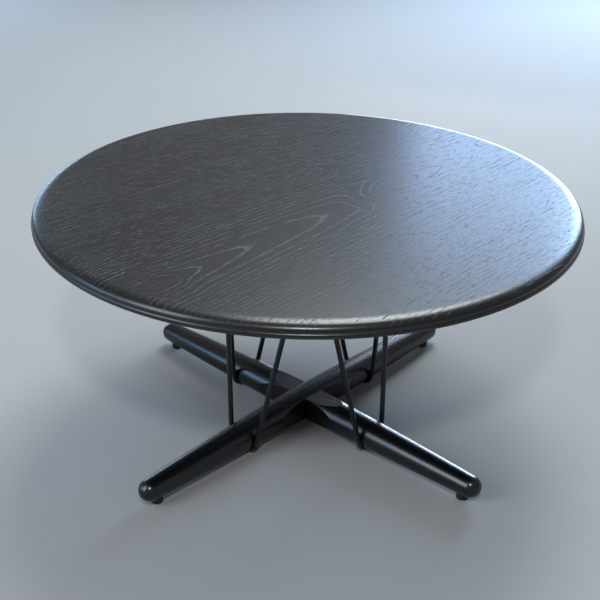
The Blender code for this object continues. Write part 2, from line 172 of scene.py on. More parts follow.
def stainedOak(name, look, figure):
    material, tree, shader = startMaterial(name)
    place = addNode(tree, "ShaderNodeTexCoord").outputs["Object"]
    grain = addNode(tree, "ShaderNodeMapping", {
        "Vector": place, "Rotation": (0, 0, math.radians(-figure["grainTurn"])),
    }).outputs["Vector"]

    # place from the heart, swung out of line by slow noise
    slow = addNode(tree, "ShaderNodeMapping", {
        "Vector": grain, "Scale": (look["wanderSquash"], 1, 1),
    }).outputs["Vector"]
    swing = addNode(tree, "ShaderNodeTexNoise", {
        "Vector": slow, "Scale": 1 / look["wanderSize"], "Detail": 3.0, "Roughness": 0.45,
    }).outputs["Color"]
    swing = addNode(tree, "ShaderNodeVectorMath", {
        0: swing, 1: (0.5, 0.5, 0.5),  # the middle of the noise
    }, operation="SUBTRACT").outputs[0]
    swing = addNode(tree, "ShaderNodeVectorMath", {
        0: swing, "Scale": look["wander"] * 2,
    }, operation="SCALE").outputs[0]
    swung = addNode(tree, "ShaderNodeVectorMath", {0: grain, 1: swing}, operation="ADD").outputs[0]
    fromHeart = addNode(tree, "ShaderNodeVectorMath", {
        0: swung, 1: (0, *figure["heart"]),
    }, operation="SUBTRACT").outputs[0]
    parts = addNode(tree, "ShaderNodeSeparateXYZ", {0: fromHeart})
    along, aside, height = parts.outputs["X"], parts.outputs["Y"], parts.outputs["Z"]

    # the bend of the wood over the heart, as a curve along the grain
    bend = figure["bend"]
    start, stop = bend[0][0], bend[-1][0]
    highest = max(rise for run, rise in bend)
    share = addNode(tree, "ShaderNodeMapRange", {"Value": along, 1: start, 2: stop}).outputs[0]
    curve = addNode(tree, "ShaderNodeFloatCurve", {"Value": share})
    knots = curve.mapping.curves[0].points
    knotPlaces = [((run - start) / (stop - start), rise / highest) for run, rise in bend]
    knots[0].location, knots[1].location = knotPlaces[0], knotPlaces[-1]
    for knotPlace in knotPlaces[1:-1]:
        knots.new(*knotPlace)
    curve.mapping.update()
    height = addNode(tree, "ShaderNodeMath", {
        0: curve.outputs[0], 1: highest, 2: height,
    }, operation="MULTIPLY_ADD").outputs[0]
    if figure["dive"]:
        first, last, back, depth, reach = figure["dive"]
        fall = addNode(tree, "ShaderNodeMapRange", {"Value": along, 1: first, 2: last, 4: depth}).outputs[0]
        climb = addNode(tree, "ShaderNodeMapRange", {"Value": along, 1: last, 2: back, 4: depth}).outputs[0]
        fall = addNode(tree, "ShaderNodeMath", {0: fall, 1: climb}, operation="SUBTRACT").outputs[0]
        away = addNode(tree, "ShaderNodeMath", {0: aside}, operation="ABSOLUTE").outputs[0]
        near = addNode(tree, "ShaderNodeMapRange", {
            "Value": away, 2: reach, 3: 1.0, 4: 0.0,
        }, interpolation_type="SMOOTHSTEP").outputs[0]
        height = addNode(tree, "ShaderNodeMath", {
            0: fall, 1: near, 2: height,
        }, operation="MULTIPLY_ADD").outputs[0]

    # rings of uneven width round the heart, counted in years
    section = addNode(tree, "ShaderNodeCombineXYZ", {"Y": aside, "Z": height}).outputs[0]
    radius = addNode(tree, "ShaderNodeVectorMath", {0: section}, operation="LENGTH").outputs["Value"]
    uneven = addNode(tree, "ShaderNodeTexNoise", {
        "W": radius, "Scale": look["ringShifts"] / look["ringWidth"], "Detail": 1.0,
    }, noise_dimensions="1D").outputs["Fac"]
    rings = addNode(tree, "ShaderNodeMath", {
        0: radius, 1: 1 / look["ringWidth"],
    }, operation="MULTIPLY").outputs[0]
    rings = addNode(tree, "ShaderNodeMath", {
        0: uneven, 1: look["ringShift"], 2: rings,
    }, operation="MULTIPLY_ADD").outputs[0]
    year = addNode(tree, "ShaderNodeMath", {0: rings}, operation="FRACT").outputs[0]

    # early wood: sharp at the start of the year, thinning out after it and faded in patches
    opening = addNode(tree, "ShaderNodeMapRange", {
        "Value": year, 2: look["earlyPeak"],
    }, interpolation_type="SMOOTHSTEP").outputs[0]
    closing = addNode(tree, "ShaderNodeMapRange", {
        "Value": year, 1: look["earlyPeak"], 2: look["earlyEnd"], 3: 1.0, 4: 0.0,
    }).outputs[0]
    early = addNode(tree, "ShaderNodeMath", {0: opening, 1: closing}, operation="MULTIPLY").outputs[0]
    patches = addNode(tree, "ShaderNodeTexNoise", {
        "Vector": slow, "Scale": 1 / look["patchSize"], "Detail": 2.0,
    }).outputs["Fac"]
    patches = addNode(tree, "ShaderNodeMapRange", {
        "Value": patches, 1: look["patchEdge"][0], 2: look["patchEdge"][1], 3: look["patchLeast"],
    }).outputs[0]
    early = addNode(tree, "ShaderNodeMath", {0: early, 1: patches}, operation="MULTIPLY").outputs[0]

    # pores: long narrow dashes, thick in the early wood and few elsewhere, filled on steep faces
    stretch = (1 / look["poreLength"], 1 / look["poreWidth"], 1 / look["poreWidth"])
    fibre = addNode(tree, "ShaderNodeMapping", {"Vector": grain, "Scale": stretch}).outputs["Vector"]
    dashes = addNode(tree, "ShaderNodeTexNoise", {
        "Vector": fibre, "Scale": 1.0, "Detail": 1.0, "Roughness": 0.4,
    }).outputs["Fac"]
    poreLevel = addNode(tree, "ShaderNodeMapRange", {
        "Value": early, 3: look["lateLevel"], 4: look["earlyLevel"],
    }).outputs[0]
    above = addNode(tree, "ShaderNodeMath", {0: dashes, 1: poreLevel}, operation="SUBTRACT").outputs[0]
    pores = addNode(tree, "ShaderNodeMapRange", {"Value": above, 2: look["poreEdge"]}).outputs[0]
    facing = addNode(tree, "ShaderNodeNewGeometry").outputs["Normal"]
    facing = addNode(tree, "ShaderNodeSeparateXYZ", {0: facing}).outputs["Z"]
    facing = addNode(tree, "ShaderNodeMath", {0: facing}, operation="ABSOLUTE").outputs[0]
    facing = addNode(tree, "ShaderNodeMapRange", {
        "Value": facing, 1: look["facingEdge"][0], 2: look["facingEdge"][1], 3: look["steepOpen"],
    }).outputs[0]
    pores = addNode(tree, "ShaderNodeMath", {0: pores, 1: facing}, operation="MULTIPLY").outputs[0]

    # pits: short dashes all over, which take the stain as the rest does and only break the sheen
    stretch = (1 / look["pitLength"], 1 / look["pitWidth"], 1 / look["pitWidth"])
    fibre = addNode(tree, "ShaderNodeMapping", {
        "Vector": grain, "Location": look["pitShift"], "Scale": stretch,
    }).outputs["Vector"]
    dashes = addNode(tree, "ShaderNodeTexNoise", {
        "Vector": fibre, "Scale": 1.0, "Detail": 1.0,
    }).outputs["Fac"]
    pits = addNode(tree, "ShaderNodeMapRange", {
        "Value": dashes, 1: look["pitEdge"][0], 2: look["pitEdge"][1], 4: look["pitStrength"],
    }).outputs[0]
    pits = addNode(tree, "ShaderNodeMath", {0: pits, 1: facing}, operation="MULTIPLY").outputs[0]
    dull = addNode(tree, "ShaderNodeMath", {0: pits, 1: pores}, operation="MAXIMUM").outputs[0]

    # the stain, with the pale painted glint colour laid into the pores
    stain = addNode(tree, "ShaderNodeMix", {
        "Factor": pores, 6: linearColour(look["stain"]), 7: linearColour(look["poreGlintColour"]),
    }, data_type="RGBA").outputs[2]
    rough = addNode(tree, "ShaderNodeMapRange", {
        "Value": dull, 3: look["roughness"], 4: look["poreRoughness"],
    }).outputs[0]
    relief = addNode(tree, "ShaderNodeBump", {
        "Distance": look["poreDepth"], "Height": pores,
    }, invert=True).outputs[0]
    tree.links.new(stain, shader.inputs["Base Color"])
    tree.links.new(rough, shader.inputs["Roughness"])
    tree.links.new(relief, shader.inputs["Normal"])
    shader.inputs["IOR"].default_value = look["ior"]
    return material


noiseSpan = (0.3, 0.7)  # a noise seldom leaves this range

# Powder-coated steel rod: a black film, satin, with the faint orange peel that the bake leaves
coatLook = {
    "colour": "#0d0d0e",
    "roughness": (0.29, 0.39),
    "ior": 1.5,
    "grainSize": 0.0022,
    "grainDepth": 0.00003,
}
# Moulded black nylon: matt, with the fine spark-eroded grain of its mould
nylonLook = {
    "colour": "#121213",
    "roughness": (0.49, 0.61),
    "ior": 1.53,
    "grainSize": 0.0009,
    "grainDepth": 0.00005,
}


def texturedSkin(name, look):  # one colour all over, with a fine texture that shows in its gloss
    material, tree, shader = startMaterial(name)
    place = addNode(tree, "ShaderNodeTexCoord").outputs["Object"]
    grain = addNode(tree, "ShaderNodeTexNoise", {
        "Vector": place, "Scale": 1 / look["grainSize"], "Detail": 2.0,
    }).outputs["Fac"]
    relief = addNode(tree, "ShaderNodeBump", {"Distance": look["grainDepth"], "Height": grain}).outputs[0]
    rough = addNode(tree, "ShaderNodeMapRange", {
        "Value": grain, 1: noiseSpan[0], 2: noiseSpan[1], 3: look["roughness"][0], 4: look["roughness"][1],
    }).outputs[0]
    tree.links.new(rough, shader.inputs["Roughness"])
    tree.links.new(relief, shader.inputs["Normal"])
    shader.inputs["Base Color"].default_value = linearColour(look["colour"])
    shader.inputs["IOR"].default_value = look["ior"]
    return material


# Chemically blackened steel, and zinc-plated steel: metal that is mottled a little by its bath
blackenedLook = {"pale": "#3a3a3d", "deep": "#242427", "roughness": (0.32, 0.46), "mottleSize": 0.004}
zincLook = {"pale": "#c3c6c9", "deep": "#a4a8ad", "roughness": (0.28, 0.42), "mottleSize": 0.004}


def platedSteel(name, look):
    material, tree, shader = startMaterial(name)
    place = addNode(tree, "ShaderNodeTexCoord").outputs["Object"]
    mottle = addNode(tree, "ShaderNodeTexNoise", {
        "Vector": place, "Scale": 1 / look["mottleSize"], "Detail": 4.0,
    }).outputs["Fac"]
    colour = addNode(tree, "ShaderNodeMix", {
        "Factor": mottle, 6: linearColour(look["deep"]), 7: linearColour(look["pale"]),
    }, data_type="RGBA").outputs[2]
    rough = addNode(tree, "ShaderNodeMapRange", {
        "Value": mottle, 1: noiseSpan[0], 2: noiseSpan[1], 3: look["roughness"][0], 4: look["roughness"][1],
    }).outputs[0]
    tree.links.new(colour, shader.inputs["Base Color"])
    tree.links.new(rough, shader.inputs["Roughness"])
    shader.inputs["Metallic"].default_value = 1.0
    return material


topOak = stainedOak("black-stained oak, table top", oakLook, topFigure)
upperOak = stainedOak("black-stained oak, upper beam", beamLook, upperFigure)
lowerOak = stainedOak("black-stained oak, lower beam", beamLook, lowerFigure)
rodCoat = texturedSkin("powder-coated steel, black satin", coatLook)
screwSteel = platedSteel("blackened steel screws", blackenedLook)
zincSteel = platedSteel("zinc-plated steel", zincLook)
glideNylon = texturedSkin("moulded black nylon", nylonLook)
print("materials: made")


def turnedRings(profile, sides, move=Matrix()):  # one ring for each (radius, height) about local Z
    turns = [2 * math.pi * i / sides for i in range(sides)]
    return [[move @ Vector((r * math.cos(t), r * math.sin(t), z)) for t in turns] for r, z in profile]


def hexRing(width, height, sides):  # a hexagon drawn with as many points as a round ring
    ring = []
    for i in range(sides):
        turn = 2 * math.pi * i / sides
        fromFlat = (turn + math.pi / 6) % (math.pi / 3) - math.pi / 6
        reach = width / 2 / math.cos(fromFlat)
        ring.append(Vector((reach * math.cos(turn), reach * math.sin(turn), height)))
    return ring


def hexSocket(width, base, depth, sides):  # from its bottom out to the head face at base
    return [hexRing(width, base + depth, sides), hexRing(width, base, sides)]


arcMiddle = 0.3  # how far in a rounding's middle lies, as a share of its radius


def easedEdge(edge, ease):  # (radius, height) round the lower edge of a disc
    return [(edge - ease, 0), (edge - arcMiddle * ease, arcMiddle * ease), (edge, ease)]


def skinRings(rings, loop=False, body=None):  # skin over rings, capped or joined end to end
    body = body or bmesh.new()
    rows = [[body.verts.new(point) for point in ring] for ring in rings]
    count = len(rows[0])
    for row, after in zip(rows, rows[1:] + rows[:1] if loop else rows[1:]):
        for i in range(count):
            body.faces.new((row[i], row[i - 1], after[i - 1], after[i]))
    if not loop:
        body.faces.new(rows[0])
        body.faces.new(rows[-1])
    bmesh.ops.recalc_face_normals(body, faces=body.faces)
    return body


def toMesh(name, body):
    mesh = bpy.data.meshes.new(name)
    body.to_mesh(mesh)
    body.free()
    return mesh


def toObject(name, mesh):
    thing = bpy.data.objects.new(name, mesh)
    scene.collection.objects.link(thing)
    return thing


def evaluatedMesh(thing):  # the object's finished mesh, after which the object goes
    depsgraph = bpy.context.evaluated_depsgraph_get()
    mesh = bpy.data.meshes.new_from_object(thing.evaluated_get(depsgraph))
    bpy.data.objects.remove(thing)
    return mesh


def cutAway(name, mesh, cutters):  # exact booleans, one after another
    blank = toObject(name, mesh)
    tools = []
    for cutter in cutters:
        tools.append(toObject(name + "Cutter", cutter))
        cut = blank.modifiers.new("cut", "BOOLEAN")
        cut.operation = "DIFFERENCE"
        cut.solver = "EXACT"
        cut.object = tools[-1]
    finished = evaluatedMesh(blank)
    for tool in tools:
        bpy.data.objects.remove(tool)
    return finished


def addPiece(name, mesh, material, nodes, sharp=32):  # edges past sharp degrees show as edges
    mesh.name = name
    mesh.materials.clear()
    mesh.materials.append(material)
    mesh.shade_smooth()
    mesh.set_sharp_from_angle(angle=math.radians(sharp))
    piece = toObject(name, mesh)
    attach(piece, "root")
    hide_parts(*nodes)


def startTree(name, sizes):  # geometry tree with one geometry in, one out and named inputs
    tree = bpy.data.node_groups.new(name, "GeometryNodeTree")
    tree.interface.new_socket("Geometry", in_out="INPUT", socket_type="NodeSocketGeometry")
    for label, kind in sizes.items():
        tree.interface.new_socket(label, in_out="INPUT", socket_type="NodeSocket" + kind)
    tree.interface.new_socket("Geometry", in_out="OUTPUT", socket_type="NodeSocketGeometry")
    return tree, addNode(tree, "NodeGroupInput").outputs


def endTree(tree, given, shape):  # shape, realised and in its material
    whole = addNode(tree, "GeometryNodeRealizeInstances", {"Geometry": shape}).outputs[0]
    dressed = addNode(tree, "GeometryNodeSetMaterial", {
        "Geometry": whole, "Material": given["Material"],
    }).outputs[0]
    addNode(tree, "NodeGroupOutput", {"Geometry": dressed})
    return tree


def sweepTree():  # a round section along a drawn line, as thick as the line's halfWidth says
    tree, given = startTree("roundSweep", {"Sides": "Int", "Material": "Material"})
    line = addNode(tree, "GeometryNodeMeshToCurve", {"Mesh": given["Geometry"]}).outputs[0]
    ring = addNode(tree, "GeometryNodeCurvePrimitiveCircle", {
        "Resolution": given["Sides"], "Radius": 1.0,
    }).outputs[0]
    width = addNode(tree, "GeometryNodeInputNamedAttribute", {
        "Name": "halfWidth",
    }, data_type="FLOAT").outputs[0]
    tube = addNode(tree, "GeometryNodeCurveToMesh", {
        "Curve": line, "Profile Curve": ring, "Scale": width, "Fill Caps": True,
    }).outputs[0]
    return endTree(tree, given, tube)


def repeatTree():  # the same piece at every point, turned about Z by the point's own turn
    tree, given = startTree("repeatPiece", {"Piece": "Object", "Material": "Material"})
    piece = addNode(tree, "GeometryNodeObjectInfo", {"Object": given["Piece"]}).outputs["Geometry"]
    turn = addNode(tree, "GeometryNodeInputNamedAttribute", {"Name": "turn"}, data_type="FLOAT").outputs[0]
    euler = addNode(tree, "ShaderNodeCombineXYZ", {"Z": turn}).outputs[0]
    rotation = addNode(tree, "FunctionNodeEulerToRotation", {0: euler}).outputs[0]
    points = addNode(tree, "GeometryNodeMeshToPoints", {"Mesh": given["Geometry"]}).outputs[0]
    copies = addNode(tree, "GeometryNodeInstanceOnPoints", {
        "Points": points, "Instance": piece, "Rotation": rotation,
    }).outputs[0]
    return endTree(tree, given, copies)


roundSweep = sweepTree()
repeatPiece = repeatTree()


def growMesh(name, mesh, tree, values):  # run a tree on a mesh and keep the plain result
    source = toObject(name, mesh)
    modifier = source.modifiers.new(tree.name, "NODES")
    modifier.node_group = tree
    for item in tree.interface.items_tree:
        if item.in_out == "INPUT" and item.name in values:
            modifier[item.identifier] = values[item.name]
    return evaluatedMesh(source)


def sweepLine(name, points, halfWidths, sides, material, loop=False):
    mesh = bpy.data.meshes.new(name)
    edges = [(i, i + 1) for i in range(len(points) - 1)] + ([(len(points) - 1, 0)] if loop else [])
    mesh.from_pydata(points, edges, [])
    widths = mesh.attributes.new("halfWidth", "FLOAT", "POINT")
    widths.data.foreach_set("value", halfWidths)
    return growMesh(name, mesh, roundSweep, {"Sides": sides, "Material": material})


def repeatMesh(name, piece, spots, material):  # spots: (place, turn in radians)
    mesh = bpy.data.meshes.new(name)
    mesh.from_pydata([place for place, turn in spots], [], [])
    turns = mesh.attributes.new("turn", "FLOAT", "POINT")
    turns.data.foreach_set("value", [turn for place, turn in spots])
    pattern = toObject(name + "Pattern", piece)
    finished = growMesh(name, mesh, repeatPiece, {"Piece": pattern, "Material": material})
    bpy.data.objects.remove(pattern)
    return finished


def addRepeats(name, piece, spots, material, nodes):
    addPiece(name, repeatMesh(name, piece, spots, material), material, nodes)


fitGap = 0.0003  # clearance between pieces that seat on each other

crossEnds = {"back_right": 0, "back_left": 90, "front_left": 180, "front_right": 270}
plateSides = {"back": 45, "left": 135, "front": 225, "right": 315}

topSizes = {
    "diameter": 0.900,
    "height": 0.4354,
    "thickness": 0.0214,
    "roundingWidth": 0.0228,
    "roundingPower": 2.6,  # squarer than a plain ellipse
    "ledge": 0.0012,  # at the foot of the rounding
    "ledgeFall": 0.0016,  # the ledge is sanded to a slope that falls this far
    "ledgePower": 1.25,
    "edgeBand": 0.008,
    "chamfer": 0.0015,
    "flatRings": (0.02, 0.2),  # radii of the rings that divide the flats
    "flatHold": 0.004,  # rings this near to an edge keep the flats' shading level
    "chamferHold": 0.0004,
    "sides": 320,
    "roundingSteps": 32,
    "ledgeSteps": 8,
}


def makeTop():
    s = topSizes
    rim, top = s["diameter"] / 2, s["height"]
    floor = top - s["thickness"]
    bandTop = floor + s["edgeBand"]
    foot = rim - s["ledge"]
    flat = foot - s["roundingWidth"]
    profile = [(radius, top) for radius in (*s["flatRings"], flat - s["flatHold"])]
    for step in range(s["roundingSteps"] + 1):
        angle = math.pi / 2 * step / s["roundingSteps"]
        out = math.sin(angle) ** (2 / s["roundingPower"])
        up = max(math.cos(angle), 0) ** (2 / s["roundingPower"])
        profile.append((flat + s["roundingWidth"] * out, bandTop + (top - bandTop) * up))
    for step in range(1, s["ledgeSteps"] + 1):
        t = step / s["ledgeSteps"]
        profile.append((foot + s["ledge"] * t, bandTop - s["ledgeFall"] * t ** s["ledgePower"]))
    cut, hold = s["chamfer"], s["chamferHold"]
    profile += [(rim, floor + cut + hold), (rim, floor + cut)]
    profile += [(rim - cut, floor), (rim - cut - hold, floor)]
    profile += [(radius, floor) for radius in reversed(s["flatRings"])]
    mesh = toMesh("tableTop", skinRings(turnedRings(profile, s["sides"])))
    addPiece("tableTop", mesh, topOak, ["table_top"])


makeTop()
print("top: turned")

beamSizes = {
    "length": 0.772,
    "midDiameter": 0.059,
    "endDiameter": 0.038,
    "taperPower": 1.5,
    "floorGap": 0.002,
    "sides": 96,
    "steps": 120,
    "domeSteps": 22,
    "domeTip": 0.35,  # share of a step that is left flat at the tip
    "holeSides": 64,
    "sharpAngle": 7,  # in degrees, low because the cheeks run out to the round at a slant
}
lapSizes = {"width": 0.041, "margin": 0.0035, "runoutRadius": 0.300, "steps": 24}
glideSizes = {
    "diameter": 0.020,
    "height": 0.014,
    "round": 0.0016,
    "lip": 0.0003,  # eased edge of the screw hole
    "inset": 0.013,  # from the centre of the domed beam end
    "sink": 0.001,
    "screwSink": 0.004,
    "screwLength": 0.026,
    "roundSteps": 6,
    "sides": 64,
}
midRadius = beamSizes["midDiameter"] / 2
endRadius = beamSizes["endDiameter"] / 2
endStation = beamSizes["length"] / 2 - endRadius
glideStation = endStation - glideSizes["inset"]
midHeight = beamSizes["floorGap"] + midRadius


def beamRadius(along):
    share = min(abs(along) / endStation, 1)
    return midRadius - (midRadius - endRadius) * share ** beamSizes["taperPower"]


recessRadius = glideSizes["diameter"] / 2 + fitGap
glideSeat = glideSizes["height"] + fitGap
glideAxis = glideSeat - glideSizes["sink"] + math.sqrt(beamRadius(glideStation) ** 2 - recessRadius ** 2)


def beamHeight(along):  # the centre line is arched a little
    return midHeight - (midHeight - glideAxis) * (along / glideStation) ** 2


yokeSizes = {
    "rodDiameter": 0.009,
    "proud": 0.0037,  # below the beam
    "sideGap": 0.0012,  # beside the beam
    "station": 0.155,
    "armGap": 0.0054,
    "shoulder": 0.016,  # length over which an arm eases into the bend
    "tipSlack": 0.0001,  # points this near to a tip's plane belong to it
    "armSteps": 12,
    "shoulderSteps": 8,
    "steps": 56,
    "sides": 40,
}
plateSizes = {
    "reach": 0.1386,
    "diameter": 0.068,
    "thickness": 0.004,
    "edgeRound": 0.0008,
    "topEase": 0.0002,
    "screwEdge": 0.010,
    "screwCover": 0.008,
    "screws": 3,
    "sides": 96,
}
underside = topSizes["height"] - topSizes["thickness"]
plateBase = underside - fitGap - plateSizes["thickness"]
armTop = plateBase - fitGap
rodRadius = yokeSizes["rodDiameter"] / 2
yokeDepth = beamRadius(yokeSizes["station"]) + yokeSizes["proud"]


def armSpot():  # where a rod meets its plate: along the beam and to the side
    shift = rodRadius + yokeSizes["armGap"] / 2
    return (plateSizes["reach"] + shift) / math.sqrt(2), (plateSizes["reach"] - shift) / math.sqrt(2)


def yokePath():  # down one arm, round under the beam and up the other, on the arm along +X
    s = yokeSizes
    along, aside = armSpot()
    bend = beamRadius(s["station"]) + s["sideGap"] + rodRadius
    height = beamHeight(s["station"]) - yokeDepth + rodRadius + bend
    reach = Vector((aside, armTop - height))
    start = math.atan2(reach.y, reach.x) - math.acos(bend / reach.length)
    sweep = math.pi + 2 * start

    def onBend(turn):
        return Vector((s["station"], bend * math.cos(turn), height + bend * math.sin(turn)))

    top = Vector((along, aside, armTop))
    kink = onBend(start)
    fromArm = kink + (top - kink).normalized() * s["shoulder"]
    ease = s["shoulder"] / bend
    intoBend = onBend(start - ease)
    half = [top + (fromArm - top) * i / s["armSteps"] for i in range(s["armSteps"])]
    for i in range(s["shoulderSteps"] + 1):
        t = i / s["shoulderSteps"]
        half.append(fromArm * (1 - t) ** 2 + kink * 2 * t * (1 - t) + intoBend * t ** 2)
    steps = s["steps"] // 2
    for i in range(1, steps + 1):
        half.append(onBend(start - ease - (sweep / 2 - ease) * i / steps))
    return half + [Vector((p.x, -p.y, p.z)) for p in reversed(half[:-1])]


def turnedAbout(points, degrees):
    turn = Matrix.Rotation(math.radians(degrees), 4, "Z")
    return [turn @ point for point in points]


def crossSpots(place):  # one place on the arm along +X, repeated on each arm with the arm's turn
    return [(turnedAbout([place], turn)[0], math.radians(turn)) for turn in crossEnds.values()]


def lapOutline(depth):  # straight across the lap, then curving out to the round
    straight = lapSizes["width"] / 2 + lapSizes["margin"]
    runout = math.sqrt(2 * lapSizes["runoutRadius"] * midRadius)
    side = []
    for step in range(lapSizes["steps"] + 1):
        run = runout * step / lapSizes["steps"]
        side.append((straight + run, depth + run ** 2 / (2 * lapSizes["runoutRadius"])))
    side.append((straight + runout, depth + 2 * midRadius))
    return [(-along, out) for along, out in reversed(side)] + side


def barRings(outline, halfLength, move):
    return [[move @ Vector((a, o, end)) for a, o in outline] for end in (-halfLength, halfLength)]


def skinAll(name, shapes):
    body = bmesh.new()
    for rings in shapes:
        skinRings(rings, body=body)
    return toMesh(name, body)


boltSizes = {
    "diameter": 0.008,
    "headDiameter": 0.013,
    "headHeight": 0.007,
    "socketWidth": 0.006,
    "socketDepth": 0.004,
    "ease": 0.0006,
    "tipLength": 0.0012,
    "sink": 0.0115,
    "washerDiameter": 0.018,
    "washerThickness": 0.0016,
    "insertLength": 0.015,
    "sides": 48,
}


def makeBeam(name, node, lower, material):  # made along X, and the lower one is then turned
    s = beamSizes
    rows = [endStation * (2 * i / s["steps"] - 1) for i in range(s["steps"] + 1)]
    rows = [(along, beamRadius(along)) for along in rows]
    dome = []
    for step in range(1, s["domeSteps"] + 1):
        angle = math.pi / 2 * step / (s["domeSteps"] + s["domeTip"])
        dome.append((endStation + endRadius * math.sin(angle), endRadius * math.cos(angle)))
    rows = [(-along, radius) for along, radius in reversed(dome)] + rows + dome
    line = [Vector((along, 0, beamHeight(along))) for along, radius in rows]
    mesh = sweepLine(name, line, [radius for along, radius in rows], s["sides"], material)

    middle = Matrix.Translation((0, 0, midHeight))
    seatSide = middle @ Matrix.Rotation(math.pi / 2 if lower else -math.pi / 2, 4, "X")
    seatDepth = math.sqrt(midRadius ** 2 - (lapSizes["width"] / 2) ** 2)
    clear = 2 * midRadius  # far enough to cut right through
    cheek = lapOutline(lapSizes["width"] / 2)
    cheeks = [barRings(cheek, clear, middle @ Matrix.Rotation(t, 4, "Z")) for t in (0, math.pi)]
    seat = barRings(lapOutline(seatDepth), clear, seatSide)
    half, base = lapSizes["width"] / 2 + fitGap, -fitGap / 2
    notch = barRings([(-half, base), (half, base), (half, clear), (-half, clear)], clear, seatSide)
    recess = [(recessRadius, -glideSizes["height"]), (recessRadius, glideSeat)]
    ends = [Matrix.Translation((side * glideStation, 0, 0)) for side in (1, -1)]
    holes = [turnedRings(recess, s["holeSides"], end) for end in ends]
    if lower:  # the bolt's pocket
        pocket = boltSizes["washerDiameter"] / 2 + fitGap
        ceiling = s["floorGap"] + boltSizes["sink"]
        holes.append(turnedRings([(pocket, -midRadius), (pocket, ceiling)], s["holeSides"]))
    cuts = {"cheeks": cheeks, "seat": [seat], "notch": [notch], "holes": holes}
    cutters = [skinAll(cut, shapes) for cut, shapes in cuts.items()]
    for turn in (0, 180):
        path = turnedAbout(yokePath(), turn)
        widths = [rodRadius + fitGap] * len(path)
        cutters.append(sweepLine("groove", path, widths, yokeSizes["sides"], material))
    mesh = cutAway(name, mesh, cutters)
    if lower:
        mesh.transform(Matrix.Rotation(math.pi / 2, 4, "Z"))
    addPiece(name, mesh, material, [node], sharp=s["sharpAngle"])


makeBeam("upperBeam", "upper_beam", False, upperOak)
makeBeam("lowerBeam", "lower_beam", True, lowerOak)
print("beams: turned, lapped and grooved")


def makeYokes():
    path = yokePath()
    for end, turn in crossEnds.items():
        points = turnedAbout(path, turn)
        name = "rodYoke" + end.title().replace("_", "")
        mesh = sweepLine(name, points, [rodRadius] * len(points), yokeSizes["sides"], rodCoat)
        for tip, inner in ((points[0], points[1]), (points[-1], points[-2])):  # cut the arms level
            run = (tip - inner).normalized()
            for vertex in mesh.vertices:
                offset = vertex.co - tip
                if abs(offset.dot(run)) < yokeSizes["tipSlack"] and offset.length < 2 * rodRadius:
                    vertex.co += run * ((armTop - vertex.co.z) / run.z)
        addPiece(name, mesh, rodCoat, ["rod_yoke_" + end])


makeYokes()
print("yokes: bent")

screwSizes = {
    "diameter": 0.0045,
    "headDiameter": 0.009,
    "headRim": 0.0004,
    "ease": 0.0002,
    "tipLength": 0.004,
    "tipDiameter": 0.0012,
    "socketWidth": 0.0025,
    "socketDepth": 0.0014,
    "sides": 36,
}
headHeight = screwSizes["headRim"] + (screwSizes["headDiameter"] - screwSizes["diameter"]) / 2


def countersunkScrew(length):  # points up from its head face
    s = screwSizes
    head, shank = s["headDiameter"] / 2, s["diameter"] / 2
    profile = [
        (head - s["ease"], 0), (head, s["ease"]), (head, s["headRim"]), (shank, headHeight),
        (shank, length - s["tipLength"]), (s["tipDiameter"] / 2, length),
    ]
    return hexSocket(s["socketWidth"], 0, s["socketDepth"], s["sides"]) + turnedRings(profile, s["sides"])


def plateScrewSpots(turn):
    middle = Matrix.Rotation(math.radians(turn), 4, "Z") @ Vector((plateSizes["reach"], 0, plateBase))
    circle = plateSizes["diameter"] / 2 - plateSizes["screwEdge"]
    turns = [math.radians(turn + 360 / plateSizes["screws"] * i) for i in range(plateSizes["screws"])]
    return [(middle + circle * Vector((math.cos(t), math.sin(t), 0)), t) for t in turns]


def makePlates():
    s = plateSizes
    edge, thick = s["diameter"] / 2, s["thickness"]
    profile = easedEdge(edge, s["edgeRound"]) + [(edge, thick - s["topEase"]), (edge - s["topEase"], thick)]
    head = screwSizes["headDiameter"] / 2 + fitGap
    shank = screwSizes["diameter"] / 2 + fitGap
    sink = [(head, -thick), (head, screwSizes["headRim"]), (shank, headHeight), (shank, 2 * thick)]
    holes = []
    for place, turn in plateScrewSpots(0):
        offset = place - Vector((s["reach"], 0, plateBase))
        holes.append(turnedRings(sink, screwSizes["sides"], Matrix.Translation(offset)))
    blank = toMesh("plate", skinRings(turnedRings(profile, s["sides"])))
    plate = cutAway("plate", blank, [skinAll("sinks", holes)])
    spots = []
    for turn in plateSides.values():
        angle = math.radians(turn)
        place = Vector((s["reach"] * math.cos(angle), s["reach"] * math.sin(angle), plateBase))
        spots.append((place, angle))
    nodes = ["mount_plate_" + side for side in plateSides]
    addRepeats("mountPlates", plate, spots, rodCoat, nodes)

    length = topSizes["height"] - s["screwCover"] - plateBase
    screw = toMesh("plateScrew", skinRings(countersunkScrew(length)))
    spots = [spot for turn in plateSides.values() for spot in plateScrewSpots(turn)]
    nodes = [f"plate_screw_{side}_{i + 1}" for side in plateSides for i in range(s["screws"])]
    addRepeats("plateScrews", screw, spots, screwSteel, nodes)


makePlates()
print("plates: cut and screwed")

weldSizes = {
    "bead": 0.0016,
    "spread": 0.4,  # shares of the bead by which its middle lies outside the rod and below the plate
    "drop": 0.3,
    "ripple": 0.00022,
    "ripples": 17,
    "wobble": 0.4,  # a slower swell over the ripples, as a share of them
    "wobbles": 5,
    "wobbleStart": 1,
    "steps": 136,
    "sides": 12,
}


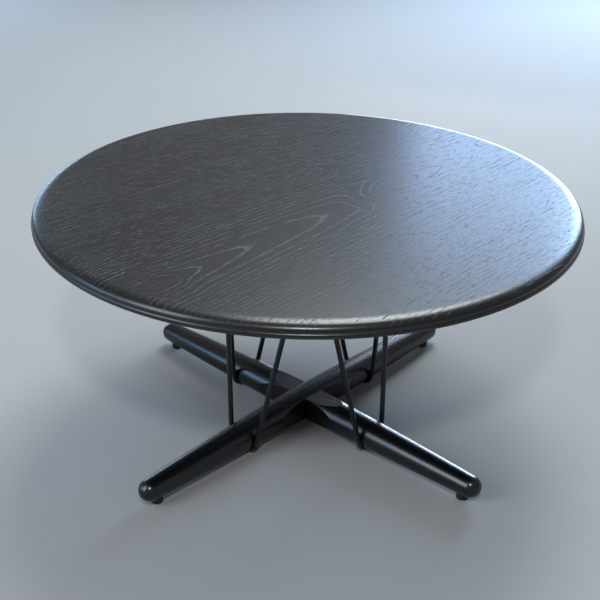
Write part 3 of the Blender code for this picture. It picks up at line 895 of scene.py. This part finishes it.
def makeWelds():  # a rippled bead round each rod where it meets its plate
    s = weldSizes
    along, aside = armSpot()
    circle = rodRadius + s["spread"] * s["bead"]
    points, widths = [], []
    for step in range(s["steps"]):
        turn = 2 * math.pi * step / s["steps"]
        wave = math.sin(s["ripples"] * turn)
        wave += s["wobble"] * math.sin(s["wobbles"] * turn + s["wobbleStart"])
        points.append(Vector((circle * math.cos(turn), circle * math.sin(turn), 0)))
        widths.append(s["bead"] + s["ripple"] * wave)
    bead = sweepLine("bead", points, widths, s["sides"], rodCoat, loop=True)
    spots = []
    for turn in crossEnds.values():
        for side in (1, -1):
            foot = turnedAbout([Vector((along, side * aside, plateBase - s["drop"] * s["bead"]))], turn)[0]
            spots.append((foot, math.radians(turn) + side))  # turned a little, so that neighbours differ
    welds = repeatMesh("weldBeads", bead, spots, rodCoat)
    for vertex in welds.vertices:  # melted flat against the plate
        vertex.co.z = min(vertex.co.z, plateBase)
    addPiece("weldBeads", welds, rodCoat, [])


makeWelds()
print("welds: laid")

yokeScrewSizes = {"length": 0.030, "headDiameter": 0.0078, "headHeight": 0.0026, "headRound": 0.0008}


def makeYokeScrews():  # the shank is that of the countersunk screws, under a rounded head
    s, thread = yokeScrewSizes, screwSizes
    head, shank = s["headDiameter"] / 2, thread["diameter"] / 2
    tip = s["headHeight"] + s["length"]
    profile = easedEdge(head, s["headRound"]) + [
        (head, s["headHeight"]), (shank, s["headHeight"]), (shank, tip - thread["tipLength"]),
        (thread["tipDiameter"] / 2, tip),
    ]
    socket = hexSocket(thread["socketWidth"], 0, thread["socketDepth"], thread["sides"])
    screw = toMesh("yokeScrew", skinRings(socket + turnedRings(profile, thread["sides"])))
    spots = crossSpots(Vector((yokeSizes["station"], 0, beamHeight(yokeSizes["station"]) - yokeDepth)))
    nodes = ["yoke_screw_" + end for end in crossEnds]
    addRepeats("yokeScrews", screw, spots, screwSteel, nodes)


makeYokeScrews()
print("yoke screws: driven")


def makeGlides():
    s = glideSizes
    edge, lip = s["diameter"] / 2, s["lip"]
    head = screwSizes["headDiameter"] / 2 + fitGap
    bore = screwSizes["diameter"] / 2 + fitGap
    profile = [(head + lip, 0), (edge - s["round"], 0)]
    for step in range(1, s["roundSteps"] + 1):
        turn = math.pi / 2 * step / s["roundSteps"]
        profile.append((edge - s["round"] + s["round"] * math.sin(turn), s["round"] * (1 - math.cos(turn))))
    profile += [
        (edge, s["height"]), (bore, s["height"]), (bore, s["screwSink"] + headHeight),
        (head, s["screwSink"] + screwSizes["headRim"]), (head, lip),
    ]
    glide = toMesh("glide", skinRings(turnedRings(profile, s["sides"]), loop=True))
    spots = crossSpots(Vector((glideStation, 0, 0)))
    addRepeats("glides", glide, spots, glideNylon, ["glide_" + end for end in crossEnds])

    screw = toMesh("glideScrew", skinRings(countersunkScrew(s["screwLength"])))
    spots = crossSpots(Vector((glideStation, 0, s["screwSink"])))
    nodes = ["glide_screw_" + end for end in crossEnds]
    addRepeats("glideScrews", screw, spots, screwSteel, nodes)


makeGlides()
print("glides: seated")


def makeLapBolt():
    s = boltSizes
    washerBase = beamSizes["floorGap"] + s["sink"] - fitGap - s["washerThickness"]
    base = washerBase - fitGap - s["headHeight"]
    neck = base + s["headHeight"]
    top = midHeight + fitGap + s["insertLength"]
    head, shank = s["headDiameter"] / 2, s["diameter"] / 2
    profile = [
        (head - s["ease"], base), (head, base + s["ease"]), (head, neck), (shank, neck),
        (shank, top - s["tipLength"]), (shank - s["ease"], top),
    ]
    socket = hexSocket(s["socketWidth"], base, s["socketDepth"], s["sides"])
    mesh = toMesh("lapBolt", skinRings(socket + turnedRings(profile, s["sides"])))
    addPiece("lapBolt", mesh, screwSteel, ["lap_bolt"])


makeLapBolt()
for node in ("lap_washer", "lap_insert"):  # shut inside the lap, kept as solids
    frame["nodes"][node].data.materials.clear()
    frame["nodes"][node].data.materials.append(zincSteel)
print("lap: bolted")

studioSet = {
    "floor": "#a1a09e",
    "floorRoughness": 0.95,
    "floorGloss": 0.05,
    "floorSize": 120.0,
    "world": "#fafbff",
    "worldStrength": 0.25,
    # name: (turn from +X and rise of its middle in degrees, distance, width, height, colour, brightness)
    "lamps": {
        "windowLamp": (13, 13.8, 4.2, 1.05, 1.8, "#b4d8ff", 17.0),
        "windowEdge": (27, 13.8, 4.2, 1.05, 1.8, "#b2d2ff", 5.8),
        "backLamp": (28, 58, 3.8, 1.7, 2.6, "#f2f9f8", 10.2),
        "sideBackLamp": (74, 4, 4.0, 1.4, 0.9, "#b4dcff", 5.4),
        "skyLamp": (140, 10, 4.0, 1.5, 1.4, "#98cfff", 4.2),
        "leftLamp": (166, 26, 4.0, 1.6, 2.6, "#e2efff", 6.0),
        "edgeCard": (24, -4.6, 2.2, 1.1, 0.34, "#f4f8ff", 12.0),
        "frontLamp": (222, 42, 3.0, 0.24, 0.24, "#f8faff", 165.0),
    },
}


def makeStudio():
    s = studioSet
    material, _, shader = startMaterial("pale studio floor")
    shader.inputs["Base Color"].default_value = linearColour(s["floor"])
    shader.inputs["Roughness"].default_value = s["floorRoughness"]
    shader.inputs["Specular IOR Level"].default_value = s["floorGloss"]
    body = bmesh.new()
    bmesh.ops.create_grid(body, x_segments=1, y_segments=1, size=s["floorSize"] / 2)
    mesh = toMesh("studioFloor", body)
    mesh.materials.append(material)
    toObject("studioFloor", mesh)

    world = bpy.data.worlds.new("studio")
    scene.world = world
    world.use_nodes = True
    sky = world.node_tree.nodes["Background"]
    sky.inputs["Color"].default_value = linearColour(s["world"])
    sky.inputs["Strength"].default_value = s["worldStrength"]

    target = Vector((0, 0, topSizes["height"]))  # all lamps face the middle of the top
    for name, (turn, rise, reach, width, height, colour, bright) in s["lamps"].items():
        data = bpy.data.lights.new(name, "AREA")
        data.shape = "RECTANGLE"
        data.size, data.size_y = width, height
        data.color = linearColour(colour)[:3]
        data.energy = bright * width * height * math.pi  # so bright doesn't change with the lamp's size
        lamp = bpy.data.objects.new(name, data)
        turn, rise = math.radians(turn), math.radians(rise)
        out = Vector((math.cos(turn) * math.cos(rise), math.sin(turn) * math.cos(rise), math.sin(rise)))
        lamp.location = target + out * reach
        lamp.rotation_euler = out.to_track_quat("Z", "Y").to_euler()
        lamp.visible_camera = False
        lamp.visible_diffuse = name != "edgeCard"  # the card only glints along edges
        scene.collection.objects.link(lamp)
    scene.view_settings.view_transform = "Standard"


makeStudio()
print("studio: lit")
